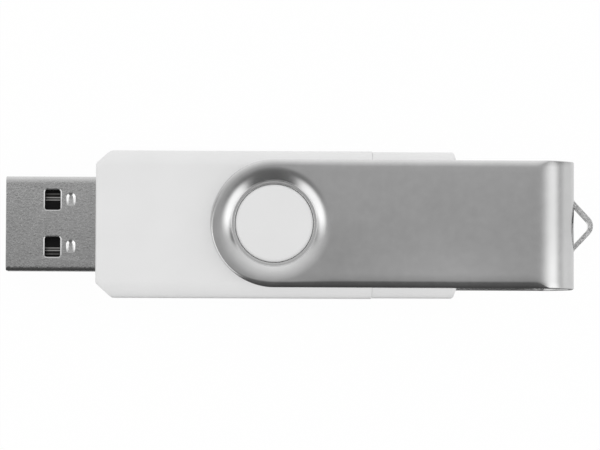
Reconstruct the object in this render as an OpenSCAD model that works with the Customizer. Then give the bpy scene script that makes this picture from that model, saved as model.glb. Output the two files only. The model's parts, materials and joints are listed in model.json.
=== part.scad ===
// Swivel-cover flash drive with a USB-A plug in front and a micro-USB plug
// under a pull-off rear cap.
//
// Frame: origin at the centre of the USB-A plug's open end. +X runs along the
// drive towards the lanyard eye, +Y across it, +Z through its thickness.
// All sizes are in millimetres.

/* [Body] */
// Length of the moulded body, front face to cap seam
body_len = 35.1; // [34:0.1:38]
// Width of the moulded body
body_w = 18.7; // [18.5:0.1:22]
// Thickness of the moulded body
body_t = 8.0; // [7.8:0.1:9]
// Radius on the body's long edges
body_edge_r = 2.0; // [1:0.1:2.4]
// Radius on the edges of the body's front face
front_edge_r = 0.5; // [0.2:0.1:0.8]
// Front corner chamfer, along the length
corner_dx = 1.9; // [0.5:0.1:3]
// Front corner chamfer, across the width
corner_dy = 1.7; // [0.5:0.1:2.5]
// Wall thickness of the body shells
shell_wall = 1.1; // [0.9:0.05:1.3]
// Distance from the body's front face to the pivot axis
pivot_back = 22.7; // [20:0.1:24]

/* [Pivot] */
// Diameter of the round pivot boss on each face
boss_d = 9.86; // [9:0.02:9.9]
// How far the boss stands above the body's face
boss_h = 0.9; // [0.7:0.05:1.3]
// Radius on the boss's rim
boss_edge_r = 0.3; // [0.1:0.05:0.5]

/* [Swivel cover] */
// Width of the stamped cover
cover_w = 16.25; // [15.6:0.05:17]
// Distance from the pivot axis to the outside of the cover's end wall
cover_reach = 38.2; // [37.5:0.1:42]
// Thickness of the sheet
sheet = 0.6; // [0.5:0.05:0.7]
// Clearance between the body's face and the dished lip of the cover
lip_gap = 0.07; // [0.05:0.01:0.2]
// Depth of the dish that is pressed around each pivot hole
dish_depth = 0.78; // [0.5:0.01:0.8]
// Diameter of the pivot hole in the cover
hole_d = 10.0; // [10:0.02:10.2]
// Outer diameter of the flat lip around the hole
lip_d = 10.9; // [10.6:0.1:11.2]
// Diameter of the dish's crest
crest_d = 14.7; // [14:0.1:14.8]
// Outside radius of the rolled long edges
roll_r = 0.75; // [0.7:0.05:0.9]
// Outside radius of the two bends at the end wall
bend_r = 4.3; // [3.8:0.1:4.4]

/* [Lanyard eye] */
// How far the pressed-out strip stands from the end wall
eye_reach = 2.45; // [1.8:0.05:3]
// Slope of the strip's two arms
eye_slope = 43; // [35:1:50]
// Centre-line radius at the tip of the strip
eye_tip_r = 1.25; // [0.9:0.05:1.6]
// Centre-line radius where the arms leave the wall
eye_root_r = 0.9; // [0.6:0.05:1.2]

/* [Rear cap] */
// Length of the pull-off cap
cap_len = 11.0; // [10.5:0.1:12]
// How much narrower and thinner the cap is than the body
cap_relief = 0.16; // [0:0.02:0.4]
// End corner chamfer, along the length
cap_corner_dx = 0.6; // [0.3:0.1:1.2]
// End corner chamfer, across the width
cap_corner_dy = 1.9; // [0.5:0.1:2.5]
// Radius on the edges of the cap's end face
cap_end_r = 1.0; // [0.5:0.1:1.4]
// Length of the body's neck that the cap fits over
neck_len = 3.0; // [2:0.1:3.2]

/* [USB-A plug] */
// Length of plug that stands out of the body
plug_out = 11.5; // [11.3:0.05:12.5]
// Width of the plug's shell
plug_w = 12.0; // [11.9:0.05:12.1]
// Height of the plug's shell
plug_h = 4.5; // [4.4:0.05:4.6]
// Sheet thickness of the plug's shell
plug_wall = 0.3; // [0.25:0.05:0.35]
// Outside corner radius of the plug's shell
plug_corner_r = 0.65; // [0.5:0.05:0.8]

/* [Micro-USB plug] */
// Length of plug that stands out of the neck
micro_out = 5.6; // [5:0.1:5.7]
// Width of the micro plug's shell
micro_w = 6.85; // [6.8:0.05:6.9]
// Height of the micro plug's shell
micro_h = 1.8; // [1.75:0.05:1.85]

/* [Circuit board] */
// Thickness of the circuit board
pcb_t = 0.8; // [0.6:0.1:0.8]
// Width of the circuit board
pcb_w = 13.8; // [13.6:0.1:14.0]

/* [Hidden] */
$fn = 64;

// Stations along the drive
x_front = plug_out;                    // body's front face
x_seam  = x_front + body_len;          // seam between body and cap
x_cap   = x_seam + cap_len;            // end of the cap
x_pivot = x_front + pivot_back;        // pivot axis
x_wall  = x_pivot + cover_reach;       // outside of the cover's end wall
x_neck  = x_seam + neck_len;           // end of the neck

// Circuit board
pcb_x0 = x_front + 5.6;
pcb_x1 = x_seam + 0.4;
pcb_z  = pcb_t / 2;                    // upper face; the lower is at -pcb_z

sides = [-1, 1];
over  = 1;       // how far a cutting shape runs past what it cuts
deep  = 2;       // the same, for cuts through the board and the plugs' parts
far   = 20;      // beyond the drive's outside in Y and Z
root  = 0.2;     // how far an added feature sinks into its wall
slip  = 0.05;    // clearance per side between fitted parts

white = [0.93, 0.93, 0.93];
steel = [0.62, 0.62, 0.62];
tin   = [0.56, 0.56, 0.57];
black = [0.06, 0.06, 0.06];
gold  = [0.83, 0.66, 0.25];
board = [0.05, 0.32, 0.16];

// ---------------------------------------------------------------- helpers

// Range [from, to] of a given size about a middle
function span(middle, size) = [middle - size / 2, middle + size / 2];

// Range from inner to outer on the +Y side, or mirrored on the -Y side
function side_span(side, inner, outer) =
    side > 0 ? [inner, outer] : [-outer, -inner];

function arc_points(centre, r, start, end, steps) =
    [for (i = [0:steps])
        let (angle = start + (end - start) * i / steps)
            centre + r * [cos(angle), sin(angle)]];

// Box that fills three [from, to] ranges
module box(x, y, z) {
    translate([x[0], y[0], z[0]])
        cube([x[1] - x[0], y[1] - y[0], z[1] - z[0]]);
}

// Rectangle with true round corners, centred
module round_rect(w, h, r) {
    square([w - 2 * r, h], center = true);
    square([w, h - 2 * r], center = true);
    for (sx = sides, sy = sides)
        translate([sx * (w / 2 - r), sy * (h / 2 - r)]) circle(r = r);
}

// A cross-section drawn in (across, up), run along X from x0 to x1
module along_x(x0, x1) {
    translate([x0, 0, 0]) rotate([90, 0, 90])
        linear_extrude(height = x1 - x0) children();
}

// A side profile drawn in (along, up), run across Y and centred on it
module across_y(w) {
    rotate([90, 0, 0]) linear_extrude(height = w, center = true) children();
}

// The children, and their mirror image below the XY plane
module both_faces() {
    children();
    mirror([0, 0, 1]) children();
}

// Plan with a square end at square_x and two chamfered corners at cut_x
module chamfered_plan(square_x, cut_x, width, dx, dy) {
    shoulder_x = cut_x + sign(square_x - cut_x) * dx;
    polygon([[square_x, -width / 2], [shoulder_x, -width / 2],
             [cut_x, -width / 2 + dy], [cut_x, width / 2 - dy],
             [shoulder_x, width / 2], [square_x, width / 2]]);
}

// Strip running along X with one sloping step. x holds its start, the start
// and end of the slope underneath, and its end. below and above hold the
// heights of its two faces before and after the step; shift moves the slope
// of the upper face.
module stepped_strip(w, x, below, above, shift) {
    across_y(w) polygon([
        [x[0], below[0]], [x[1], below[0]], [x[2], below[1]], [x[3], below[1]],
        [x[3], above[1]], [x[2] + shift, above[1]],
        [x[1] + shift, above[0]], [x[0], above[0]]]);
}

// ---------------------------------------------------------------- body

cav_w = body_w - 2 * shell_wall - 0.4;   // board chamber
cav_t = body_t - 2 * shell_wall + 0.2;
neck_w = body_w - 2.6;
neck_t = body_t - 2.2;
neck_r = body_edge_r - 0.4;
neck_end_wall = 1.1;
split_gap = 0.04;       // from the XY plane to each shell's parting face
block_len = 60;         // rounded side profile, longer than the body

post_w = 1.1;           // posts along the chamber's side walls
post_len = 1.8;
post_gap = 0.05;        // from the XY plane to each post's end
peg_len = 1.0;
peg_w = 0.7;
peg_x = [x_front + 3.2, x_front + body_len / 2, x_seam - 2.4];
peg_y = (cav_w - post_w) / 2;

rail_x = [x_front + 8, x_seam - 6];
rail_y = 6.75;
rail_w = 0.4;

// Outside of the body as one solid block
module body_block() {
    intersection() {
        linear_extrude(height = body_t + 2 * over, center = true)
            chamfered_plan(x_seam, x_front, body_w, corner_dx, corner_dy);
        along_x(x_front - over, x_seam + over)
            round_rect(body_w, body_t, body_edge_r);
        across_y(body_w + 4 * over) translate([x_front + block_len / 2, 0])
            round_rect(block_len, body_t, front_edge_r);
    }
    along_x(x_seam - 0.5, x_neck) round_rect(neck_w, neck_t, neck_r);
}

// Room inside the body
module body_room() {
    // passage of the USB-A plug
    box([x_front - over, x_front + 3],
        span(0, plug_w + 2 * slip), span(0, plug_h + 2 * slip));
    // board chamber
    box([x_front + 1.4, x_seam - 1.2], span(0, cav_w), span(0, cav_t));
    // hollow of the neck, and the micro plug's passage through its end
    box([x_seam - 2, x_neck - neck_end_wall], span(0, 11), span(0, 3.2));
    box([x_seam - 2, x_neck + over],
        span(0, micro_w + 2 * slip), span(0, micro_h + 2 * slip));
}

// The hollow body's part within a height range
module half_body(z) {
    difference() {
        intersection() {
            body_block();
            box([x_front - over, x_neck + over], [-far, far], z);
        }
        body_room();
    }
}

module pivot_boss() {
    rim_x = boss_d / 2 - boss_edge_r;
    rim_z = boss_h + root - boss_edge_r;
    translate([x_pivot, 0, body_t / 2 - root]) rotate_extrude() {
        square([rim_x, boss_h + root]);
        square([boss_d / 2, rim_z]);
        translate([rim_x, rim_z]) circle(r = boss_edge_r);
    }
}

module posts(z) {
    for (x = peg_x, side = sides)
        box(span(x, post_len),
            side_span(side, peg_y - post_w / 2, cav_w / 2 + 0.1), z);
}

module pegs(play, z) {
    for (x = peg_x, side = sides)
        box(span(x, peg_len + 2 * play),
            span(side * peg_y, peg_w + 2 * play), z);
}

module rails(z) {
    for (side = sides)
        box(rail_x, span(side * rail_y, rail_w), z);
}

// The upper shell's posts carry the peg sockets, and its ribs hold the board
// down on the lower shell's rails
module upper_shell() {
    color(white) difference() {
        union() {
            half_body([split_gap, far]);
            posts([post_gap, cav_t / 2 + root]);
            pivot_boss();
            rails([pcb_z + 0.05, cav_t / 2 + root]);
        }
        pegs(slip, [-over, 1.3]);
    }
}

// The lower shell's posts carry the pegs that enter the upper shell
module lower_shell() {
    color(white) {
        half_body([-far, -split_gap]);
        mirror([0, 0, 1]) pivot_boss();
        posts([-cav_t / 2 - root, -post_gap]);
        pegs(0, [-0.6, 1.2]);
        rails([-cav_t / 2 - root, -pcb_z]);
    }
}

// ---------------------------------------------------------------- rear cap

cap_w = body_w - cap_relief;
cap_t = body_t - cap_relief;
cap_seam_gap = 0.03;
cap_end_wall = 1.4;
cap_block_len = 30;     // rounded side profile, longer than the cap

module rear_cap() {
    color(white) difference() {
        intersection() {
            linear_extrude(height = cap_t + 2 * over, center = true)
                chamfered_plan(x_seam + cap_seam_gap, x_cap, cap_w,
                               cap_corner_dx, cap_corner_dy);
            along_x(x_seam, x_cap + over)
                round_rect(cap_w, cap_t, body_edge_r);
            across_y(body_w + 4 * over)
                translate([x_cap - cap_block_len / 2, 0])
                    round_rect(cap_block_len, cap_t, cap_end_r);
        }
        // socket for the neck, and room for the micro plug behind it
        along_x(x_seam - over, x_cap - cap_end_wall)
            round_rect(neck_w + 2 * slip, neck_t + 2 * slip, neck_r + slip);
    }
}

// ---------------------------------------------------------------- cover

z_lip = body_t / 2 + lip_gap;          // underside of the cover's lip
z_out = z_lip + dish_depth + sheet;    // outside of the cover's plates
flat_z = z_out - bend_r;               // half height of the end wall's flat
roll_depth = roll_r + 0.02;            // depth of the rolled edge
section_h = 20;                        // ring that the section is cut from
punch_h = 4;
dish_w = (crest_d - lip_d) / 2;
// Radius of the arc that falls by dish_depth over dish_w from the crest
dish_r = (dish_w * dish_w + dish_depth * dish_depth) / (2 * dish_depth);

// Cross-section of the sheet: flat, with both long edges rolled inwards.
// The outside face lies on y = 0 and the sheet hangs below it.
module cover_section() {
    difference() {
        translate([0, -section_h / 2]) round_rect(cover_w, section_h, roll_r);
        translate([0, -section_h / 2])
            round_rect(cover_w - 2 * sheet, section_h - 2 * sheet,
                       roll_r - sheet);
        translate([-section_h, -2 * section_h])
            square([2 * section_h, 2 * section_h - roll_depth]);
    }
}

// The upper plate of the cover, with its half-round end
module cover_plate() {
    difference() {
        translate([0, 0, z_out]) {
            along_x(x_pivot, x_wall - bend_r) cover_section();
            translate([x_pivot, 0, 0]) rotate([0, 0, 90])
                rotate_extrude(angle = 180) intersection() {
                    cover_section();
                    translate([0, -section_h])
                        square([section_h, 2 * section_h]);
                }
        }
        translate([x_pivot, 0, z_out - punch_h / 2])
            cylinder(d = crest_d, h = punch_h);
    }
    // dish and flat lip around the pivot hole
    translate([x_pivot, 0, 0]) rotate_extrude() {
        intersection() {
            translate([crest_d / 2, z_out - dish_r]) difference() {
                circle(r = dish_r);
                circle(r = dish_r - sheet);
            }
            translate([hole_d / 2, z_lip]) square([(crest_d - hole_d) / 2, 5]);
        }
        translate([hole_d / 2, z_lip])
            square([(lip_d - hole_d) / 2 + 0.2, sheet]);
    }
}

// Bend from the end wall up into the upper plate
module cover_bend() {
    translate([x_wall - bend_r, 0, flat_z]) rotate([90, 0, 0])
        rotate_extrude(angle = 90)
            translate([bend_r, 0]) rotate(-90) cover_section();
}

// The pressed-out strip follows a centre line of root fillet, arm, round tip
// and their mirror image
eye_arm = (eye_reach - (eye_tip_r + eye_root_r) * (1 - cos(eye_slope)))
          / tan(eye_slope);            // extent of one arm across the drive
eye_half = (eye_tip_r + eye_root_r) * sin(eye_slope) + eye_arm;
eye_end = eye_half + 0.3;              // strip's end, inside the wall
eye_steps = 5;                         // segments in each root fillet

// One face of the strip in (outwards, across), offset from the centre line
function eye_side(offset) =
    let (points = concat(
        [[-eye_end, offset]],
        arc_points([-eye_half, eye_root_r], eye_root_r - offset,
                   -90, -90 + eye_slope, eye_steps),
        arc_points([0, eye_reach - eye_tip_r], eye_tip_r + offset,
                   90 + eye_slope, 90 - eye_slope, 2 * eye_steps),
        arc_points([eye_half, eye_root_r], eye_root_r - offset,
                   -90 - eye_slope, -90, eye_steps),
        [[eye_end, offset]]))
    [for (point = points) [point[1], point[0]]];

module eye_outline() {
    inner = eye_side(-sheet / 2);
    polygon(concat(eye_side(sheet / 2),
                   [for (i = [len(inner) - 1:-1:0]) inner[i]]));
}

module swivel_cover() {
    color(steel) {
        difference() {
            union() {
                both_faces() cover_plate();
                both_faces() cover_bend();
                // end wall
                translate([x_wall, 0, -flat_z])
                    linear_extrude(height = 2 * flat_z)
                        rotate(-90) cover_section();
            }
            // opening left behind by the pressed-out strip
            box([x_wall - 1.5, x_wall + over],
                [-eye_half, eye_half], [-flat_z, flat_z]);
        }
        translate([x_wall - sheet / 2, 0, -flat_z])
            linear_extrude(height = 2 * flat_z) eye_outline();
    }
}

// ---------------------------------------------------------------- USB-A plug

plug_end = x_front + 5.2;              // shell's end inside the body
plug_inner_r = plug_corner_r - plug_wall;
tail_y = (plug_w - plug_wall) / 2;     // middle of the shell's solder tails
window_x = 5.95;
window_y = 3.0;
dimple_x = 8.28;
dimple_r = 1.4;
dimple_rise = 1.25;                    // sphere's centre above the shell's face

tongue_z = -0.1;                       // upper face of the tongue
power_y = [-3.5, 3.5];
data_y = [-1.0, 1.0];
contact_y = concat(power_y, data_y);
contact_t = 0.15;
step_x = [x_front + 2.6, x_front + 3.2];  // contacts rise to the board here
contact_end = x_front + 7.4;

module usb_a_shell() {
    color(tin) difference() {
        union() {
            difference() {
                along_x(0, plug_end)
                    round_rect(plug_w, plug_h, plug_corner_r);
                along_x(-over, plug_end + over)
                    round_rect(plug_w - 2 * plug_wall, plug_h - 2 * plug_wall,
                               plug_inner_r);
            }
            // two tails that are soldered into notches in the board
            for (side = sides)
                box([plug_end - 0.5, plug_end + 2],
                    span(side * tail_y, plug_wall), span(0, 1.8));
        }
        // two windows in each wide face
        for (side = sides) translate([window_x, side * window_y, 0])
            linear_extrude(height = plug_h + 2 * over, center = true)
                round_rect(1.95, 2.5, 0.25);
        // pressed dimples behind the windows, that grip the insulator
        for (side = sides, face = sides)
            translate([dimple_x, side * window_y,
                       face * (plug_h / 2 + dimple_rise)])
                sphere(r = dimple_r);
    }
}

// Strips that lie on the tongue, rise in the rear block and end in tails
// soldered on the board
module usb_a_contacts(y_places, tip_x) {
    below = [tongue_z, pcb_z];
    for (y = y_places) translate([0, y, 0])
        stepped_strip(1.0, [tip_x, step_x[0], step_x[1], contact_end],
                      below, below + [contact_t, contact_t], -0.1);
}

module usb_a_power_contacts() {
    color(gold) usb_a_contacts(power_y, 1.2);
}

module usb_a_data_contacts() {
    color(gold) usb_a_contacts(data_y, 2.2);
}

module usb_a_insulator() {
    front_x = 0.5;
    insulator_w = plug_w - 2 * plug_wall - 2 * slip;
    half_h = plug_h / 2 - plug_wall - slip;
    wide = [-insulator_w, insulator_w];
    color(black) difference() {
        intersection() {
            along_x(front_x, plug_end)
                round_rect(insulator_w, 2 * half_h, plug_inner_r);
            // tongue and rear block
            union() {
                box([front_x, 10.2], wide, [-half_h - over, tongue_z]);
                box([9.6, plug_end + over], wide,
                    [-half_h - over, half_h + over]);
            }
        }
        // slots for the four contacts
        for (y = contact_y) translate([0, y, 0])
            stepped_strip(1.1,
                [8, step_x[0] + 0.1, step_x[1] + 0.1, x_front + 6],
                [tongue_z, pcb_z - 0.02], [tongue_z + 0.2, pcb_z + 0.2], -0.3);
        // pockets over the contacts at the rear block's front
        for (y = contact_y) box([9.4, 10.6], span(y, 1.1), [tongue_z, 1.0]);
        // recesses under the tongue at the lower dimples
        for (side = sides)
            box(span(dimple_x, 1.6), span(side * window_y, 1.6),
                [-half_h - 0.1, -half_h + 0.15]);
    }
}

// ---------------------------------------------------------------- micro plug

micro_x0 = x_seam + 0.6;
micro_x1 = x_neck + micro_out;
micro_wall = 0.22;
micro_core_inset = 0.26;               // insulator's inset from the outside
micro_corner = 0.55;                   // cut of the lower corners
micro_tongue_z = 0.05;
micro_contact_y = [for (i = [-2:2]) 0.65 * i];
micro_foot = x_seam - 1.6;             // contacts' soldered ends

latch_y = 2.5;
latch_x0 = micro_x0 + 0.8;
latch_x1 = micro_x1 - 2.0;

// Outline of the micro plug: flat on top, with two cut lower corners
module micro_outline(inset) {
    w = micro_w / 2 - inset;
    h = micro_h / 2 - inset;
    polygon([[-w, h], [-w, -h + micro_corner], [-w + micro_corner, -h],
             [w - micro_corner, -h], [w, -h + micro_corner], [w, h]]);
}

module micro_usb_shell() {
    color(tin) difference() {
        along_x(micro_x0, micro_x1) micro_outline(0);
        along_x(micro_x0 - over, micro_x1 + over) micro_outline(micro_wall);
        // slots for the two latches
        for (side = sides)
            box([latch_x1 - 1.4, latch_x1], span(side * latch_y, 0.8),
                [-deep, 0]);
    }
}

module micro_usb_contacts() {
    below = [pcb_z, micro_tongue_z];
    color(gold) for (y = micro_contact_y) translate([0, y, 0])
        stepped_strip(0.26,
            [micro_foot, x_seam + 0.9, x_seam + 1.5, micro_x1 - 0.7],
            below, below + [contact_t, contact_t], 0.1);
}

// Two sprung latches whose hooks stand out through the shell
module micro_usb_latches() {
    color(steel) for (side = sides) translate([0, side * latch_y, 0])
        across_y(0.5)
            polygon([[latch_x0, -0.3], [latch_x1, -0.3],
                     [latch_x1 - 0.2, -0.7], [latch_x1 - 0.8, -1.2],
                     [latch_x1 - 1.2, -1.2], [latch_x1 - 1.2, -0.5],
                     [latch_x0, -0.5]]);
}

module micro_usb_insulator() {
    color(black) difference() {
        union() {
            along_x(micro_x0 + 0.05, x_neck + 0.6)
                micro_outline(micro_core_inset);
            // tongue
            intersection() {
                along_x(x_neck, micro_x1 - 0.4)
                    micro_outline(micro_core_inset);
                box([x_neck, micro_x1], span(0, 6.4), [-deep, micro_tongue_z]);
            }
        }
        // grooves for the contacts
        for (y = micro_contact_y)
            box([micro_x0 - over, x_neck + over], span(y, 0.32),
                [micro_tongue_z, deep]);
        // channels for the latches
        for (side = sides)
            box([latch_x0 - 0.3, latch_x1 + 0.2], span(side * latch_y, 0.64),
                [-deep, -0.25]);
    }
}

// ---------------------------------------------------------------- board

chip_gap = 0.08;        // between a package and the board
mark_depth = 0.08;      // pin-one dimple
mark_h = 1;             // height of the cylinder that cuts it
lead_t = 0.12;
lead_root = 0.02;       // end of each lead that reaches back to its package
fine_pitch = 0.5;
fine_lead_w = 0.22;

flash_x = x_front + 19.4;
flash_len = 18.4;
flash_w = 12.0;
flash_top = pcb_z + chip_gap + 1.0;

ctrl_x = x_front + 15.5;
ctrl_size = 7.0;
ctrl_bottom = -pcb_z - chip_gap - 1.4;

regulator_x = x_front + 28.2;
regulator_y = -3.2;
regulator_w = 1.3;

crystal_h = 0.75;

// Chip parts, [along, across, up] before they are turned
small_capacitor = [1.0, 0.5, 0.5];
large_capacitor = [1.6, 0.8, 0.8];
resistor = [1.0, 0.5, 0.35];

module circuit_board() {
    color(board) difference() {
        box([pcb_x0, pcb_x1], span(0, pcb_w), [-pcb_z, pcb_z]);
        // narrow rear end that enters the neck
        for (side = sides)
            box([x_seam - 3.6, pcb_x1 + over], side_span(side, 5.2, 10),
                [-deep, deep]);
        // notches for the plug shell's tails
        for (side = sides)
            box([pcb_x0 - over, pcb_x0 + 1.8], span(side * tail_y, 0.44),
                [-deep, deep]);
    }
}

// Row of gull-wing leads on a package's +X side, side_x from its centre.
// Each leaves the package at height drop and ends in a foot at z = 0.
module lead_row(side_x, count, pitch, reach, drop, w) {
    for (i = [0:count - 1])
        translate([side_x + lead_root, pitch * (i - (count - 1) / 2), 0])
            stepped_strip(w, [-lead_root, 0.25 * reach, 0.5 * reach, reach],
                          [drop, 0], [drop + lead_t, lead_t], 0.08);
}

module flash_memory_chip() {
    color(black) difference() {
        box(span(flash_x, flash_len), span(0, flash_w),
            [pcb_z + chip_gap, flash_top]);
        translate([flash_x - flash_len / 2 + 1.4, flash_w / 2 - 1.4,
                   flash_top - mark_depth]) cylinder(d = 1, h = mark_h);
    }
}

module flash_memory_leads() {
    color(tin) for (turn = [0, 180])
        translate([flash_x, 0, pcb_z]) rotate([0, 0, turn])
            lead_row(flash_len / 2, 24, fine_pitch, 0.78, 0.45, fine_lead_w);
}

module controller_chip() {
    color(black) difference() {
        box(span(ctrl_x, ctrl_size), span(0, ctrl_size),
            [ctrl_bottom, -pcb_z - chip_gap]);
        translate([ctrl_x - ctrl_size / 2 + 1, ctrl_size / 2 - 1,
                   ctrl_bottom + mark_depth - mark_h])
            cylinder(d = 0.8, h = mark_h);
    }
}

module controller_leads() {
    color(tin) for (turn = [0, 90, 180, 270])
        translate([ctrl_x, 0, -pcb_z]) rotate([0, 0, turn])
            mirror([0, 0, 1])
                lead_row(ctrl_size / 2, 12, fine_pitch, 0.95, 0.6, fine_lead_w);
}

module crystal_oscillator() {
    color([0.75, 0.75, 0.75])
        translate([x_front + 23.6, -3.2, -pcb_z - crystal_h])
            linear_extrude(height = crystal_h) round_rect(3.2, 2.5, 0.35);
}

// Chip part on the board's lower face; x is measured from the body's front
module chip_part(x, y, size, turn = 90) {
    translate([x_front + x, y, -pcb_z - size[2]]) rotate([0, 0, turn])
        translate([-size[0] / 2, -size[1] / 2, 0]) cube(size);
}

module ceramic_capacitors() {
    color([0.72, 0.6, 0.45]) {
        for (i = [0:3]) chip_part(9, -4.5 + 3 * i, small_capacitor);
        for (i = [0:2]) chip_part(23 + 1.6 * i, 4.6, small_capacitor);
        chip_part(28.4, 3.2, large_capacitor);
    }
}

module chip_resistors() {
    color(black) {
        for (i = [0:2]) chip_part(21.6 + 1.4 * i, 2.2, resistor);
        for (side = sides) chip_part(29.8, side * 0.8, resistor, turn = 0);
    }
}

module voltage_regulator() {
    color(black) box(span(regulator_x, regulator_w), span(regulator_y, 2.9),
                     [-pcb_z - 1.15, -pcb_z - chip_gap]);
}

// Two leads on the +X side and one on the -X side
module regulator_leads() {
    color(tin) for (row = [[0, 2], [180, 1]])    // [turn, number of leads]
        translate([regulator_x, regulator_y, -pcb_z]) rotate([0, 0, row[0]])
            mirror([0, 0, 1])
                lead_row(regulator_w / 2, row[1], 1.9, 0.55, 0.45, 0.4);
}

// Solder on the plug shell's tails and on the contacts' tails
module solder_joints() {
    color([0.7, 0.7, 0.72]) {
        for (side = sides)
            translate([pcb_x0 + 0.9, side * (plug_w / 2 + 0.55), pcb_z])
                across_y(0.7)
                    polygon([[-0.7, 0], [0.7, 0], [0.4, 0.4], [-0.4, 0.4]]);
        for (y = contact_y) translate([contact_end, y, pcb_z])
            across_y(1.2) polygon([[0, 0], [0.5, 0], [0.15, 0.2], [0, 0.2]]);
        for (y = micro_contact_y) translate([micro_foot, y, pcb_z])
            across_y(0.34)
                polygon([[-0.4, 0], [0, 0], [0, 0.2], [-0.1, 0.2]]);
    }
}

upper_shell();
lower_shell();
rear_cap();
swivel_cover();
circuit_board();
usb_a_shell();
usb_a_insulator();
usb_a_power_contacts();
usb_a_data_contacts();
micro_usb_shell();
micro_usb_insulator();
micro_usb_contacts();
micro_usb_latches();
flash_memory_chip();
flash_memory_leads();
controller_chip();
controller_leads();
crystal_oscillator();
ceramic_capacitors();
chip_resistors();
voltage_regulator();
regulator_leads();
solder_joints();
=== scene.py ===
"""A flash drive with a swivelling sheet-metal cover.

It lies flat: length along X, width along Y, the plane between its two shells at z = 0.
The USB-A plug is at the -X end, with its mouth at x = 0. The micro-USB plug is at the
+X end, under the rear cap. The cover's two plates lie above and below the body, turn
about the pivot (parallel to Z) and join in an end wall at +X.
Sizes are in millimetres; finish_mesh turns them into metres.
"""
import json
from math import acos, atan, atan2, cos, degrees, hypot, pi, radians, sin, sqrt, tan

import bmesh
import bpy
from mathutils import Matrix, Vector
from mathutils.geometry import tessellate_polygon


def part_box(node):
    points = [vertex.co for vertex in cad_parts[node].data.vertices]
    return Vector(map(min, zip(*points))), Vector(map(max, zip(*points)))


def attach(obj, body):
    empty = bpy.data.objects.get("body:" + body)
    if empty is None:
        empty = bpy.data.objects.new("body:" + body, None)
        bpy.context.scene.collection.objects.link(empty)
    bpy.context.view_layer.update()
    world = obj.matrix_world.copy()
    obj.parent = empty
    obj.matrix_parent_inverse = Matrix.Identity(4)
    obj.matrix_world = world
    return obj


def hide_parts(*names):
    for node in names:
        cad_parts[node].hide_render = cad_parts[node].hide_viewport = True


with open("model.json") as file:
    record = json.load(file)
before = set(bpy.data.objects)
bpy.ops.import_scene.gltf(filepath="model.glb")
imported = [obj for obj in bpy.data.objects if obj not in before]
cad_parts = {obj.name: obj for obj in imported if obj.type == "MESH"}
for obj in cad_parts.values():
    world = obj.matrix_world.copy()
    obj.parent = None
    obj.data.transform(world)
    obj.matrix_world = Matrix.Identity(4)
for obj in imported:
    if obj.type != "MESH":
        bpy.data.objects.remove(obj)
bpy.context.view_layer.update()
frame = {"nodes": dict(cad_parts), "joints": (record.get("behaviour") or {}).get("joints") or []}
MM = 0.001
QUARTER = pi / 2


# --------------------------------------------------------------------------
# driving sizes, from the CAD pieces
# --------------------------------------------------------------------------
def node_box(node):
    """Lowest and highest corner of a CAD piece."""
    low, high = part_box(node)
    return [c / MM for c in low], [c / MM for c in high]


_, COVER_HIGH = node_box("swivel_cover")
SHELL_LOW, SHELL_HIGH = node_box("upper_shell")
CAP_LOW, CAP_HIGH = node_box("rear_cap")
_, PLUG_HIGH = node_box("usb_a_shell")
_, MICRO_HIGH = node_box("micro_usb_shell")
PIVOT_X = next(joint["pos_m"][0] / MM for joint in frame["joints"]
               if joint["name"] == "cover_swivel")

SHEET = 0.6                     # thickness of the cover
EYE = 2.45                      # how far the pressed-out strip stands off the end wall
COVER_Y = COVER_HIGH[1]         # half width of the cover
COVER_Z = COVER_HIGH[2]         # outside of the cover's plates
WALL_X = COVER_HIGH[0] - EYE    # outside of the end wall

BODY_Y = SHELL_HIGH[1]          # half width of the body
BODY_Z = 4.0                    # the body's flat face
FRONT_X = SHELL_LOW[0]          # -X end of the body
SEAM_X = CAP_LOW[0] - 0.03      # just short of the rear cap
NECK_X = SHELL_HIGH[0]          # +X end of the neck
NECK_Y = BODY_Y - 1.3
NECK_Z = BODY_Z - 1.1
CAP_X = CAP_HIGH[0]
BOSS_R = 4.93
BOSS_Z = SHELL_HIGH[2]


# --------------------------------------------------------------------------
# mesh helpers
# --------------------------------------------------------------------------
def spread(start, end, steps):
    """Even values from start to end, both included."""
    return [start + (end - start) * i / steps for i in range(steps + 1)]


def around(centre, half):
    return centre - half, centre + half


def smoothstep(value):
    value = max(0.0, min(1.0, value))
    return value * value * (3 - 2 * value)


class Soup:
    """Loose points in millimetres and faces, welded by finish_mesh."""

    def __init__(self):
        self.points, self.faces = [], []

    def add(self, points):
        base = len(self.points)
        self.points.extend([tuple(p) for p in points])
        return base

    def grid(self, rows, close_rows=False, close_ends=False, skip=None):
        """Quads over a net of points. close_rows joins the ends of each row,
        close_ends joins the last row to the first."""
        count, width = len(rows), len(rows[0])
        base = self.add([p for row in rows for p in row])
        for i in range(count if close_ends else count - 1):
            here, there = base + i * width, base + (i + 1) % count * width
            for j in range(width if close_rows else width - 1):
                if skip and skip(i, j):
                    continue
                k = (j + 1) % width
                self.faces.append((here + j, here + k, there + k, there + j))

    def face(self, points):
        base = self.add(points)
        self.faces.append(tuple(range(base, base + len(points))))

    def plane(self, loops):
        """Flat region bounded by the first loop, with the others as holes."""
        base = self.add([p for loop in loops for p in loop])
        for triangle in tessellate_polygon([[Vector(p) for p in loop] for loop in loops]):
            self.faces.append(tuple(base + i for i in triangle))


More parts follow.
